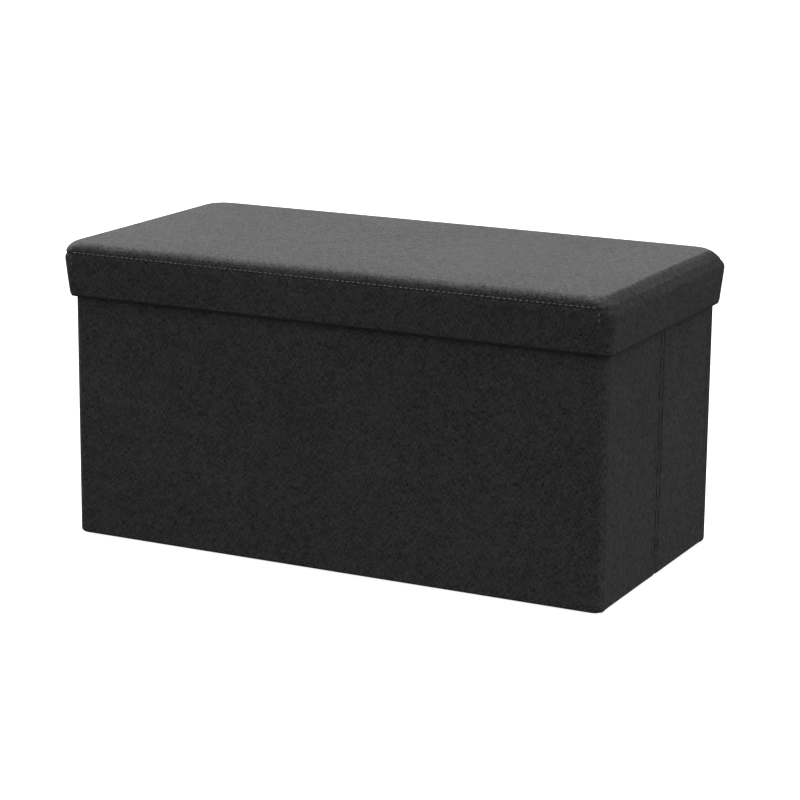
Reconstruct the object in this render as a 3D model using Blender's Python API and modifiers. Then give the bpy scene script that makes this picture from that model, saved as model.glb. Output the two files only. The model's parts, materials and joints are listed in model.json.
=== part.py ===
"""A folding storage ottoman: an upholstered box with a padded lid that lifts off.

The box is eight hinged pieces. The front and back panels stay flat, each end is two halves that
fold inwards like a book, and the two floor leaves rise to a ridge, so the box closes to a flat
stack. Metres, +Z up, the front faces -Y, and the origin is on the ground under the middle.
"""

from math import pi

import bmesh
import bpy
from mathutils import Vector

# Driving dimensions.
LID_WIDTH = 0.760
LID_DEPTH = 0.380
HEIGHT = 0.386
SKIRT_BOTTOM = 0.319
OVERHANG = 0.009
WALL_HEIGHT = 0.346

# Stock thicknesses.
PANEL_BOARD = 0.009
LID_BOARD = 0.009
RIM_BOARD = 0.005
FLOOR_BOARD = 0.004
CLOTH = 0.0015
LID_CLOTH = 0.0012
LINING = 0.001
HINGE_CLOTH = 0.0006
RIBBON = 0.0012

# Gaps and rounding.
GAP = 0.0003
HINGE_CLEARANCE = 0.0012
CORNER_RADIUS = 0.006
EDGE_RADIUS = 0.0025
LID_RADIUS = 0.006
ROUND_STEPS = 3

# The fold.
BATTEN = 0.0064
FOLD_GAP = 0.0005
FOLD_CLOTH_WIDTH = 0.011
CORNER_CLOTH_WIDTH = 0.020
CLOTH_END_MARGIN = 0.004

# The floor.
FLOOR_UNDERSIDE = 0.004
LEAF_MARGIN = 0.002
LEAF_HINGE_OFFSET = 0.0005
FLOOR_COVER = 0.0008
RIBBON_WIDTH = 0.020
RIBBON_LENGTH = 0.070

# Worked out from the above.
HALF_WIDTH = LID_WIDTH / 2 - OVERHANG
HALF_DEPTH = LID_DEPTH / 2 - OVERHANG
PANEL = CLOTH + GAP + PANEL_BOARD + GAP + LINING
INNER_Y = HALF_DEPTH - PANEL
CORNER_AXIS_Y = INNER_Y - GAP - BATTEN - GAP
END_OUTER_X = HALF_WIDTH - HINGE_CLEARANCE
END_INNER_X = END_OUTER_X - PANEL
CORNER_AXIS_X = END_INNER_X - HINGE_CLEARANCE
HALF_PANEL = CORNER_AXIS_Y - GAP - FOLD_GAP
LEAF_AXIS_Y = INNER_Y - LEAF_HINGE_OFFSET
FLOOR_TOP = FLOOR_UNDERSIDE + FLOOR_BOARD + GAP + FLOOR_COVER
LEAF_AXIS_Z = FLOOR_TOP + GAP
LID_BOARD_Z = WALL_HEIGHT + GAP + LINING + GAP
LID_CORE_X = LID_WIDTH / 2 - LID_CLOTH - GAP
LID_CORE_Y = LID_DEPTH / 2 - LID_CLOTH - GAP
LID_CORE_RADIUS = LID_RADIUS - LID_CLOTH


def clear_scene():
    """Takes every object out of the open scene."""
    for item in list(bpy.data.objects):
        bpy.data.objects.remove(item, do_unlink=True)


def make_material(name, colour, roughness):
    """A plain non-metal Principled material."""
    material = bpy.data.materials.new(name)
    material.use_nodes = True
    shader = material.node_tree.nodes["Principled BSDF"]
    shader.inputs["Base Color"].default_value = (*colour, 1)
    shader.inputs["Roughness"].default_value = roughness
    shader.inputs["Metallic"].default_value = 0
    return material


def make_body(name, location):
    """An empty on a joint's axis, which carries the pieces that move together."""
    empty = bpy.data.objects.new(name, None)
    empty.location = location
    empty.empty_display_size = 0.05
    COLLECTION.objects.link(empty)
    return empty


def add_piece(name, mesh, material, body, location=(0, 0, 0), turn=0.0):
    """Makes an object of a bmesh, at a place in world space, as a child of its body's empty."""
    data = bpy.data.meshes.new(name)
    mesh.to_mesh(data)
    mesh.free()
    data.materials.append(material)
    piece = bpy.data.objects.new(name, data)
    piece.parent = body
    piece.location = Vector(location) - body.location
    piece.rotation_euler = (0, 0, turn)
    COLLECTION.objects.link(piece)
    return piece


def box(low, high):
    """A bmesh box between two corners."""
    mesh = bmesh.new()
    bmesh.ops.create_cube(mesh, size=1)
    low, high = Vector(low), Vector(high)
    for vertex in mesh.verts:
        for axis in range(3):
            vertex.co[axis] = high[axis] if vertex.co[axis] > 0 else low[axis]
    return mesh


def runs_along(edge, axis):
    """Whether an edge lies along one axis: 0, 1 or 2."""
    direction = (edge.verts[0].co - edge.verts[1].co).normalized()
    return abs(direction[axis]) > 0.999


def lies_at(edge, axis, value):
    """Whether both ends of an edge have this coordinate."""
    return all(abs(vertex.co[axis] - value) < 1e-6 for vertex in edge.verts)


def round_edges(mesh, wanted, radius, steps=ROUND_STEPS):
    """Rounds the closed edges that a test picks."""
    edges = [edge for edge in mesh.edges if len(edge.link_faces) == 2 and wanted(edge)]
    bmesh.ops.bevel(mesh, geom=edges, offset=radius, segments=steps, profile=0.5, affect="EDGES")


def open_face(mesh, axis, value):
    """Takes out the flat face at this coordinate, which leaves a tray."""
    faces = [face for face in mesh.faces if all(abs(v.co[axis] - value) < 1e-6 for v in face.verts)]
    bmesh.ops.delete(mesh, geom=faces, context="FACES")


def add_thickness(piece, thickness):
    """Gives an open surface a wall on its inner side."""
    wall = piece.modifiers.new("wall", "SOLIDIFY")
    wall.thickness = thickness
    wall.offset = -1
    wall.use_even_offset = True


def add_panel(name, length, body, location, turn):
    """An upholstered panel: board, cloth cover round its outside and edges, and lining inside.

    In its own frame the panel runs from 0 to length along X and from 0, its outer face, to PANEL
    along Y.
    """
    wrap = CLOTH + GAP
    board = box((wrap, wrap, wrap), (length - wrap, wrap + PANEL_BOARD, WALL_HEIGHT - wrap))
    round_edges(board, lambda edge: runs_along(edge, 1), CORNER_RADIUS - CLOTH)
    round_edges(board, lambda edge: lies_at(edge, 1, wrap), EDGE_RADIUS - CLOTH, 1)
    add_piece(f"{name}_board", board, BOARD, body, location, turn)

    depth = PANEL - LINING - GAP
    cover = box((0, 0, 0), (length, depth, WALL_HEIGHT))
    open_face(cover, 1, depth)
    round_edges(cover, lambda edge: runs_along(edge, 1), CORNER_RADIUS)
    round_edges(cover, lambda edge: lies_at(edge, 1, 0), EDGE_RADIUS, 2)
    add_thickness(add_piece(f"{name}_cover", cover, UPHOLSTERY, body, location, turn), CLOTH)

    lining = box((0, PANEL - LINING, 0), (length, PANEL, WALL_HEIGHT))
    round_edges(lining, lambda edge: runs_along(edge, 1), CORNER_RADIUS)
    add_piece(f"{name}_lining", lining, LINER, body, location, turn)


def add_batten(name, body, side_x, side_y):
    """A cloth-wrapped strip in a corner of the box, which the end's hinge cloth is held to."""
    near_x, far_x = sorted((side_x * (END_INNER_X + GAP), side_x * HALF_WIDTH))
    low_y, high_y = sorted((side_y * (INNER_Y - GAP), side_y * (CORNER_AXIS_Y + GAP)))
    batten = box((near_x, low_y, 0), (far_x, high_y, WALL_HEIGHT))
    outer_x = side_x * HALF_WIDTH
    round_edges(batten, lambda edge: runs_along(edge, 1) and lies_at(edge, 0, outer_x), CORNER_RADIUS)
    add_piece(name, batten, UPHOLSTERY, body)


def add_corner_cloth(name, body, side_x, side_y):
    """The cloth hinge at a corner, along the inner faces of the batten and of the end half."""
    edge_x = CORNER_AXIS_X + GAP
    near_x, far_x = sorted((side_x * edge_x, side_x * (edge_x + HINGE_CLOTH)))
    start_y = INNER_Y - GAP
    low_y, high_y = sorted((side_y * start_y, side_y * (start_y - CORNER_CLOTH_WIDTH)))
    low = (near_x, low_y, CLOTH_END_MARGIN)
    high = (far_x, high_y, WALL_HEIGHT - CLOTH_END_MARGIN)
    add_piece(name, box(low, high), LINER, body)


def add_fold_cloth(name, body, side_x):
    """The cloth hinge down the middle of an end, on its outer face."""
    inner_x = END_OUTER_X + GAP
    near_x, far_x = sorted((side_x * inner_x, side_x * (inner_x + HINGE_CLOTH)))
    low = (near_x, -FOLD_CLOTH_WIDTH / 2, CLOTH_END_MARGIN)
    high = (far_x, FOLD_CLOTH_WIDTH / 2, WALL_HEIGHT - CLOTH_END_MARGIN)
    add_piece(name, box(low, high), UPHOLSTERY, body)


def add_long_side(side, side_y):
    """The front or back panel, with its two corner battens. Returns the body's empty."""
    body = make_body(f"{side}_panel_body", (0, side_y * HALF_DEPTH, 0))
    turn = 0.0 if side_y < 0 else pi
    add_panel(f"{side}_panel", 2 * HALF_WIDTH, body, (side_y * HALF_WIDTH, side_y * HALF_DEPTH, 0), turn)
    for end, side_x in ENDS:
        add_batten(f"{side}_{end}_batten", body, side_x, side_y)
    return body


def add_end_half(end, side_x, half, side_y):
    """One half of an end, on the corner axis, with its corner cloth hinge."""
    body = make_body(f"{end}_{half}_half_body", (side_x * CORNER_AXIS_X, side_y * CORNER_AXIS_Y, 0))
    low_y, high_y = sorted((side_y * FOLD_GAP, side_y * (CORNER_AXIS_Y - GAP)))
    start_y = low_y if side_x > 0 else high_y
    location = (side_x * END_OUTER_X, start_y, 0)
    add_panel(f"{end}_{half}_half", HALF_PANEL, body, location, side_x * pi / 2)
    add_corner_cloth(f"{end}_{half}_corner_hinge", body, side_x, side_y)
    return body


def add_floor_leaf(side, side_y):
    """A floor leaf on its axis along the panel's foot: a mitred board under a full-size cover."""
    body = make_body(f"floor_{side}_leaf_body", (0, side_y * LEAF_AXIS_Y, LEAF_AXIS_Z))
    hinge_y, ridge_y = side_y * (LEAF_AXIS_Y - GAP), side_y * FOLD_GAP
    low_y, high_y = sorted((hinge_y, ridge_y))
    long_half = CORNER_AXIS_X - LEAF_MARGIN
    short_half = long_half - abs(hinge_y - ridge_y)

    board = box((-long_half, low_y, FLOOR_UNDERSIDE), (long_half, high_y, FLOOR_UNDERSIDE + FLOOR_BOARD))
    for vertex in board.verts:
        if abs(vertex.co.y - ridge_y) < 1e-6:
            vertex.co.x *= short_half / long_half
    add_piece(f"floor_{side}_board", board, BOARD, body)

    cover_half = CORNER_AXIS_X - GAP
    cover = box((-cover_half, low_y, FLOOR_TOP - FLOOR_COVER), (cover_half, high_y, FLOOR_TOP))
    add_piece(f"floor_{side}_cover", cover, LINER, body)
    return body


def add_pull_ribbon(body):
    """The ribbon that lifts the ridge of the floor, flat on the front leaf."""
    low_z = FLOOR_TOP + GAP
    far_y = -2 * FOLD_GAP
    near_y = far_y - RIBBON_LENGTH
    ribbon = box((-RIBBON_WIDTH / 2, near_y, low_z), (RIBBON_WIDTH / 2, far_y, low_z + RIBBON))
    round_edges(ribbon, lambda edge: runs_along(edge, 2) and lies_at(edge, 1, near_y), EDGE_RADIUS)
    add_piece("floor_pull_ribbon", ribbon, RIBBON_CLOTH, body)


def add_lid_rims(body):
    """The four strips under the lid board that make its skirt."""
    low_z = SKIRT_BOTTOM + GAP
    high_z = LID_BOARD_Z - GAP
    for side, side_y in LONG_SIDES:
        outer_y = side_y * LID_CORE_Y
        low_y, high_y = sorted((outer_y, side_y * (LID_CORE_Y - RIM_BOARD)))
        half = LID_CORE_X - RIM_BOARD - GAP
        add_piece(f"lid_{side}_rim", box((-half, low_y, low_z), (half, high_y, high_z)), BOARD, body)
    for end, side_x in ENDS:
        outer_x = side_x * LID_CORE_X
        low_x, high_x = sorted((outer_x, side_x * (LID_CORE_X - RIM_BOARD)))
        rim = box((low_x, -LID_CORE_Y, low_z), (high_x, LID_CORE_Y, high_z))
        round_edges(rim, lambda edge: runs_along(edge, 2) and lies_at(edge, 0, outer_x), LID_CORE_RADIUS)
        add_piece(f"lid_{end}_rim", rim, BOARD, body)


def add_lid():
    """The lift-off lid: board, foam, cloth cover, skirt rims and lining."""
    body = make_body("lid_body", (0, 0, LID_BOARD_Z))
    board_top = LID_BOARD_Z + LID_BOARD
    foam_top = HEIGHT - LID_CLOTH - GAP

    board = box((-LID_CORE_X, -LID_CORE_Y, LID_BOARD_Z), (LID_CORE_X, LID_CORE_Y, board_top))
    round_edges(board, lambda edge: runs_along(edge, 2), LID_CORE_RADIUS)
    add_piece("lid_board", board, BOARD, body)

    foam = box((-LID_CORE_X, -LID_CORE_Y, board_top + GAP), (LID_CORE_X, LID_CORE_Y, foam_top))
    round_edges(foam, lambda edge: runs_along(edge, 2) or lies_at(edge, 2, foam_top), LID_CORE_RADIUS)
    add_piece("lid_foam", foam, FOAM, body)

    cover = box(
        (-LID_WIDTH / 2, -LID_DEPTH / 2, SKIRT_BOTTOM),
        (LID_WIDTH / 2, LID_DEPTH / 2, HEIGHT),
    )
    open_face(cover, 2, SKIRT_BOTTOM)
    round_edges(cover, lambda edge: runs_along(edge, 2) or lies_at(edge, 2, HEIGHT), LID_RADIUS)
    add_thickness(add_piece("lid_cover", cover, UPHOLSTERY, body), LID_CLOTH)

    inner_x = LID_CORE_X - RIM_BOARD - GAP
    inner_y = LID_CORE_Y - RIM_BOARD - GAP
    low_z = WALL_HEIGHT + GAP
    lining = box((-inner_x, -inner_y, low_z), (inner_x, inner_y, low_z + LINING))
    add_piece("lid_lining", lining, LINER, body)
    add_lid_rims(body)


clear_scene()
COLLECTION = bpy.data.collections.new("folding_storage_ottoman")
bpy.context.scene.collection.children.link(COLLECTION)

UPHOLSTERY = make_material("upholstery", (0.018, 0.018, 0.019), 0.9)
BOARD = make_material("board", (0.36, 0.25, 0.16), 0.7)
LINER = make_material("liner", (0.01, 0.01, 0.01), 0.95)
FOAM = make_material("foam", (0.75, 0.72, 0.6), 0.9)
RIBBON_CLOTH = make_material("ribbon", (0.02, 0.02, 0.02), 0.6)

ENDS = (("left", -1), ("right", 1))
LONG_SIDES = (("front", -1), ("back", 1))
END_HALVES = (("front", -1), ("rear", 1))

for long_side, way_y in LONG_SIDES:
    add_long_side(long_side, way_y)
for box_end, way_x in ENDS:
    for which_half, way_y in END_HALVES:
        half_body = add_end_half(box_end, way_x, which_half, way_y)
        if which_half == "front":
            add_fold_cloth(f"{box_end}_fold_hinge", half_body, way_x)
for long_side, way_y in LONG_SIDES:
    leaf_body = add_floor_leaf(long_side, way_y)
    if long_side == "front":
        add_pull_ribbon(leaf_body)
add_lid()
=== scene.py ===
"""Looks of the folding storage ottoman: cloth, seams, linings, floor, camera and light.

Everything is in metres in the row frame: +X right along the front, -Y out of the front, +Z up.
"""

import json
from math import asin, cos, degrees, exp, hypot, pi, radians, sin, sqrt

import bmesh
import bpy
import numpy as np
from mathutils import Matrix, Vector, kdtree, noise


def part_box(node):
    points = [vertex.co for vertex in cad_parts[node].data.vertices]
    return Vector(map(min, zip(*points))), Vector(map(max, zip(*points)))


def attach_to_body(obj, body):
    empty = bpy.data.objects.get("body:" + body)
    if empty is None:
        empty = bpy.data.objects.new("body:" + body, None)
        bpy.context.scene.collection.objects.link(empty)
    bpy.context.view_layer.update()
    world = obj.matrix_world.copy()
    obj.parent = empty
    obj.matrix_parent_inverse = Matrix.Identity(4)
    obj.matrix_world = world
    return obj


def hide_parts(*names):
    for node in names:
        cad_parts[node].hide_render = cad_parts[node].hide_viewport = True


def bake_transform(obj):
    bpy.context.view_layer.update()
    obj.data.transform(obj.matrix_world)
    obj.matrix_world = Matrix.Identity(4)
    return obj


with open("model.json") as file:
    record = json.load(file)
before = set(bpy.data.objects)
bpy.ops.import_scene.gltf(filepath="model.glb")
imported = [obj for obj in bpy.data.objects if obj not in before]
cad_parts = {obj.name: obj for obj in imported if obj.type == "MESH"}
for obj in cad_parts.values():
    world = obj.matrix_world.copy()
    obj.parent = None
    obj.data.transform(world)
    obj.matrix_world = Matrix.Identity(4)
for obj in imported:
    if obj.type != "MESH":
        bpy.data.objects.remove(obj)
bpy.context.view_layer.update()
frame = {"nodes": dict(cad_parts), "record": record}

# ---------------------------------------------------------------- sizes, read from the frame

LID_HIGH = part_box("lid_cover")[1]
HEM_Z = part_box("lid_cover")[0].z
BOARD_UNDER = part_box("lid_board")[0].z
RIM_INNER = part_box("lid_right_rim")[0].x
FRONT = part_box("front_panel_cover")
WALL_X, WALL_Y, WALL_TOP = FRONT[1].x, -FRONT[0].y, FRONT[1].z
LINING_Y = -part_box("front_panel_lining")[1].y
LINING_OUTER_Y = -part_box("front_panel_lining")[0].y
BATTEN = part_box("front_right_batten")
BATTEN_X, BATTEN_Y = BATTEN[0].x, -BATTEN[1].y
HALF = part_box("right_front_half_cover")
HALF_X, HALF_START_Y, FOLD_Y = HALF[1].x, -HALF[0].y, -HALF[1].y
END_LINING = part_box("right_front_half_lining")
CORNER_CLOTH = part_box("right_front_corner_hinge")
FOLD_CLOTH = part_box("right_fold_hinge")
FLOOR_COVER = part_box("floor_front_cover")
FLOOR_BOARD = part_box("floor_front_board")
FLOOR_BOARD_NEAR, FLOOR_BOARD_FAR = LINING_Y + FLOOR_BOARD[0].y, LINING_Y + FLOOR_BOARD[1].y
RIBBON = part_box("floor_pull_ribbon")

# ---------------------------------------------------------------- driving looks

GAP = 0.0003                # kept between neighbouring pieces
CLOTH = 0.0011              # thickness of the box's upholstery
LINING = 0.0008
THIN_LINING = 0.0006
ROW = 0.006                 # spacing of a panel's rows and columns
EDGE_ROUND = 0.003          # cloth over a panel's outer edge
CORNER_ROUND = 0.008        # cloth over a vertical corner of the box
BOTTOM_CORNER_ROUND = 0.006
NOTCH_ROUND = 0.006         # a half's corner at the fold, seen from the end
FOLD_ROUND = 0.0025         # a half's vertical edge at the fold
FOLD_CREASE_Y = 0.0055        # from the fold out to the crease on each side of it, where dark tape lies as the crease's painted shade
FLAP_START = 0.0090         # from the front face back to where the corner flap begins
RIBBON_RISE = 0.006         # how high the ribbon loop stands
OPEN_PIVOT_HALF = "right_rear_half"
PANEL_COLUMNS, HALF_COLUMNS = 120, 26
SIDES = (("front", -1), ("back", 1))
ENDS = (("left", -1), ("right", 1))
HALVES = [(end, half, x, y) for end, x in ENDS for half, y in (("front", -1), ("rear", 1))]

LID_ROW = 0.0035            # spacing of the lid's cloth
LID_CLOTH = 0.0009
LID_EDGE_ROUND = 0.0090     # the cushion's upper edge
LID_CORNER_ROUND = 0.0085   # the lid's vertical corners
TOP_CORNER_ROUND = 0.024    # where the cushion's rounded edge meets its flat top
LID_HEM_TUCK = 0.0024       # how far the skirt leans in at its hem
LID_RISE = 0.0026           # how far the cushion's cloth stands above its CAD solid
LID_BULGE = 0.0016          # how far the skirt swells out below the seam
SHOULDER_WIDTH = 0.018      # how far the cushion's right end slopes back to its flat top
SEAM_DROP = 0.0122          # from the lid's top down to its seam
SEAM_DEPTH = 0.0011
CROWN_CAP = 0.0040          # the most that the simulated swell may move a point

# The cloth simulation of the cushion: low pressure on stiff cloth, for a gentle crown.
SWELL_SPACING, SWELL_STEPS = 0.008, 20
SWELL = {
    "quality": 6, "mass": 0.25, "tension_stiffness": 60, "compression_stiffness": 60,
    "shear_stiffness": 8, "bending_stiffness": 2.0, "use_pressure": True,
    "uniform_pressure_force": 0.12,
}

STITCH_LENGTH = 0.0044
STITCH_GAP = 0.0028
STITCH_RADIUS = 0.00048
LINING_STITCH_RADIUS = 0.0003

SEAM_Z = LID_HIGH.z - SEAM_DROP
SHOULDER_Z = SEAM_Z - 0.0078    # where the right end's slope begins
LID_TOP = LID_HIGH.z + LID_RISE

CAMERA_PLACE = (1.500, -2.979, 0.991)
CAMERA_TURNS = (26.58, 13.61, 0.55)     # yaw, pitch down and roll, in degrees
CAMERA_LENS = 118.6

FLOOR_GLOW = 0.88           # the studio floor's own light, for a white surround


# ---------------------------------------------------------------- mesh helpers

def steps(start, stop, spacing):
    """Even numbers from start to stop, both ends included."""
    count = max(1, round(abs(stop - start) / spacing))
    return [start + (stop - start) * i / count for i in range(count + 1)]


def share(value, low, high):
    """How far a value is from low to high, from 0 to 1."""
    return min(1.0, max(0.0, (value - low) / (high - low)))


def rounded_end(distance, radius):
    """How far a rounded edge draws in, this far from the end of the face."""
    if distance >= radius:
        return 0.0
    return radius - sqrt(max(0.0, radius * radius - (radius - distance) ** 2))


def bell(distance, width):
    """1 at no distance, and smoothly down to nothing a few widths away."""
    return exp(-((distance / width) ** 2))


def rows_with_round_ends(low, high, radius, spacing=ROW):
    """Heights from low to high, close together where the ends are rounded."""
    near = [radius * (1 - cos(i * pi / 10)) for i in range(6)]
    middle = steps(low + near[-1], high - near[-1], spacing)
    return [low + d for d in near[:-1]] + middle + [high - d for d in reversed(near[:-1])]


def arc(centre, radius, start, stop, count=5):
    """Points round part of a circle, angles in degrees."""
    angles = [radians(start + (stop - start) * i / count) for i in range(count + 1)]
    return [(centre[0] + radius * cos(a), centre[1] + radius * sin(a)) for a in angles]


def line(start, stop, spacing=ROW, count=None):
    """Points from start to stop without the last one."""
    across, along = stop[0] - start[0], stop[1] - start[1]
    count = count or max(1, round(hypot(across, along) / spacing))
    return [(start[0] + across * i / count, start[1] + along * i / count) for i in range(count)]


def wobble(x, y, z, scale, seed=0.0):
    """Smooth noise from -1 to 1."""
    return noise.noise(Vector((x * scale + seed, y * scale + 3.1 * seed, z * scale - seed)))


def make_object(name, vertices, faces, material, sharp=40):
    """A smooth shaded mesh object with its faces turned outwards and a UV map in metres."""
    data = bpy.data.meshes.new(name)
    data.from_pydata([tuple(v) for v in vertices], [], faces)
    mesh = bmesh.new()
    mesh.from_mesh(data)
    bmesh.ops.recalc_face_normals(mesh, faces=mesh.faces)
    centres = [(face, face.calc_center_median()) for face in mesh.faces]
    middle = sum((centre for _, centre in centres), Vector()) / len(centres)
    if sum(face.calc_area() * face.normal.dot(centre - middle) for face, centre in centres) < 0:
        bmesh.ops.reverse_faces(mesh, faces=mesh.faces)
    mesh.to_mesh(data)
    mesh.free()
    data.materials.append(material)
    data.shade_smooth()
    data.set_sharp_from_angle(angle=radians(sharp))
    add_box_uv(data)
    obj = bpy.data.objects.new(name, data)
    bpy.context.scene.collection.objects.link(obj)
    return obj


def add_box_uv(data):
    """A UV map in metres, laid on each face along the axis it faces most."""
    layer = data.uv_layers.new(name="metres")
    for face in data.polygons:
        facing = max(range(3), key=lambda axis: abs(face.normal[axis]))
        across, along = ((1, 2), (0, 2), (0, 1))[facing]
        for corner in face.loop_indices:
            place = data.vertices[data.loops[corner].vertex_index].co
            layer.data[corner].uv = (place[across], place[along])


def bands(rows, size, first=0, open_side=False, closed=False):
    """Faces between neighbouring rings of equal size, and from the last to the first if closed."""
    faces = []
    for row in range(rows if closed else rows - 1):
        low, high = first + row * size, first + (row + 1) % rows * size
        for i in range(size - 1 if open_side else size):
            j = (i + 1) % size
            faces.append([low + i, low + j, high + j, high + i])
    return faces


def loft(name, rings, material, open_side=False):
    """A body through rings of points, with a flat cap on the first and the last.

    With open_side the gap between each ring's last and first point stays open, as in a tray.
    """
    size = len(rings[0])
    faces = [list(range(size)), list(range((len(rings) - 1) * size, len(rings) * size))]
    faces += bands(len(rings), size, open_side=open_side)
    return make_object(name, [point for ring in rings for point in ring], faces, material)


def hoop(name, rings, material):
    """A closed hoop, with rings of points as the lines that run round it."""
    faces = bands(len(rings), len(rings[0]), closed=True)
    return make_object(name, [point for ring in rings for point in ring], faces, material)


def thicken(piece, thickness, even=True):
    """Gives a surface its cloth's thickness, inwards."""
    shell = piece.modifiers.new("cloth_thickness", "SOLIDIFY")
    shell.thickness = thickness
    shell.offset = -1
    shell.use_even_offset = even


def attach(piece, body, slot, *nodes):
    """The piece rides on a body and stands for CAD nodes. The slot argument is not used."""
    if nodes:
        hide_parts(*nodes)
    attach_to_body(piece, body)


def lay(sheet, body, node):
    """The sheet rides on a body and stands for a CAD node."""
    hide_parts(node)
    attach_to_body(sheet, body)


def make_sheet(name, us, vs, place, thickness, material):
    """A thin closed sheet. place(u, v) gives a point in the middle of the cloth."""
    middle = [[Vector(place(u, v)) for v in vs] for u in us]
    rows, columns = len(us), len(vs)
    vertices = []
    for way in (0.5, -0.5):
        for i in range(rows):
            for j in range(columns):
                along_u = middle[min(i + 1, rows - 1)][j] - middle[max(i - 1, 0)][j]
                along_v = middle[i][min(j + 1, columns - 1)] - middle[i][max(j - 1, 0)]
                off = along_u.cross(along_v).normalized()
                vertices.append(middle[i][j] + off * thickness * way)
    count = rows * columns
    faces = []
    for i in range(rows - 1):
        for j in range(columns - 1):
            a = i * columns + j
            b, c, d = a + columns, a + columns + 1, a + 1
            faces += [[a, b, c, d], [count + d, count + c, count + b, count + a]]
    rim = list(range(columns)) + [i * columns + columns - 1 for i in range(1, rows)]
    rim += [(rows - 1) * columns + j for j in range(columns - 2, -1, -1)]
    rim += [i * columns for i in range(rows - 2, 0, -1)]
    for a, b in zip(rim, rim[1:] + rim[:1]):
        faces.append([a, b, count + b, count + a])
    sheet = make_object(name, vertices, faces, material, 50)
    return sheet


def mirrored(rings, flip_x, flip_y):
    """Rings with X, Y or both turned to the other side."""
    way_x, way_y = (-1 if flip_x else 1), (-1 if flip_y else 1)
    return [[(x * way_x, y * way_y, z) for x, y, z in ring] for ring in rings]


def join(name, parts):
    """Joins objects into the first one."""
    bpy.ops.object.select_all(action="DESELECT")
    for part in parts:
        part.select_set(True)
    bpy.context.view_layer.objects.active = parts[0]
    bpy.ops.object.join()
    parts[0].name = name
    return parts[0]


# ---------------------------------------------------------------- materials

class Shader:
    """A material under construction, with short calls for its nodes."""

    def __init__(self, name, **values):
        self.material = bpy.data.materials.new(name)
        self.material.use_nodes = True
        self.tree = self.material.node_tree
        self.principled = self.tree.nodes["Principled BSDF"]
        for socket, value in values.items():
            self.principled.inputs[socket.replace("_", " ")].default_value = value
        self.coordinates = self.tree.nodes.new("ShaderNodeTexCoord")

    def node(self, kind, inputs=None, **settings):
        made = self.tree.nodes.new(kind)
        for key, value in settings.items():
            setattr(made, key, value)
        for socket, value in (inputs or {}).items():
            if isinstance(value, bpy.types.NodeSocket):
                self.tree.links.new(value, made.inputs[socket])
            else:
                made.inputs[socket].default_value = value
        return made

    def scaled(self, source, scale):
        """Coordinates times a scale for each axis."""
        vector = self.coordinates.outputs[source]
        return self.node("ShaderNodeVectorMath", {0: vector, 1: scale}, operation="MULTIPLY").outputs[0]

    def noise(self, source, scale, detail=2.0, roughness=0.5):
        """Noise from 0 to 1 about 0.5, with its own scale along each axis."""
        inputs = {"Vector": self.scaled(source, scale), "Scale": 1.0}
        inputs.update({"Detail": detail, "Roughness": roughness})
        return self.node("ShaderNodeTexNoise", inputs).outputs["Fac"]

    def math(self, operation, a, b=0.0):
        return self.node("ShaderNodeMath", {0: a, 1: b}, operation=operation).outputs[0]

    def spread(self, value, low, high, from_low=0.3, from_high=0.7):
        """Maps a noise onto a range."""
        inputs = {"Value": value, 1: from_low, 2: from_high, 3: low, 4: high}
        return self.node("ShaderNodeMapRange", inputs).outputs[0]

    def colours(self, factor, low, high):
        """A colour between two, by a factor from 0 to 1."""
        mix = self.node("ShaderNodeMix", {0: factor}, data_type="RGBA")
        mix.inputs[6].default_value = (*low, 1)
        mix.inputs[7].default_value = (*high, 1)
        return mix.outputs[2]

    def bump(self, height, distance, strength):
        inputs = {"Height": height, "Distance": distance, "Strength": strength}
        return self.node("ShaderNodeBump", inputs).outputs[0]

    def finish(self, **links):
        for socket, output in links.items():
            self.tree.links.new(output, self.principled.inputs[socket.replace("_", " ")])
        return self.material


def make_upholstery():
    """Charcoal cloth with a short brushed pile: fine crossing streaks over soft mottling."""
    shader = Shader("upholstery_cloth", Sheen_Weight=0.16, Sheen_Roughness=0.30, Specular_IOR_Level=0.12)
    shader.principled.inputs["Sheen Tint"].default_value = (0.92, 0.92, 0.93, 1)
    warp = shader.noise("UV", (1300, 200, 1), 1.0)
    weft = shader.noise("UV", (200, 1300, 1), 1.0)
    grain = shader.math("ADD", shader.math("MULTIPLY", warp, 0.55), shader.math("MULTIPLY", weft, 0.45))
    soft = shader.noise("Object", (26, 26, 26), 5.0, 0.62)
    nap = shader.noise("Object", (95, 95, 95), 2.0, 0.6)
    broad = shader.noise("Object", (6, 6, 6), 2.0)
    tone = shader.math("ADD", shader.spread(grain, 0.06, 0.79, 0.42, 0.58), shader.spread(soft, 0.0, 0.12))
    tone = shader.math("ADD", tone, shader.spread(broad, 0.0, 0.10))
    tone = shader.math("ADD", tone, shader.spread(nap, -0.11, 0.11, 0.35, 0.65))
    colour = shader.colours(tone, (0.027, 0.027, 0.027), (0.172, 0.172, 0.173))
    threads = weave_height(shader, 0.0009)
    height = shader.math("ADD", shader.math("MULTIPLY", threads, 0.35), grain)
    rough = shader.spread(soft, 0.82, 0.96)
    return shader.finish(Base_Color=colour, Roughness=rough, Normal=shader.bump(height, 0.0005, 0.9))


def weave_height(shader, pitch):
    """Crossing threads, a little uneven."""
    shift = shader.node("ShaderNodeTexNoise", {"Vector": shader.scaled("UV", (170, 170, 1)), "Scale": 1.0})
    jitter = shader.node(
        "ShaderNodeVectorMath", {0: shift.outputs["Color"], 1: (pitch, pitch, 0)}, operation="MULTIPLY"
    ).outputs[0]
    place = shader.node(
        "ShaderNodeVectorMath", {0: shader.coordinates.outputs["UV"], 1: jitter}, operation="ADD"
    ).outputs[0]
    return crossing_waves(shader, place, pitch)


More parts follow.
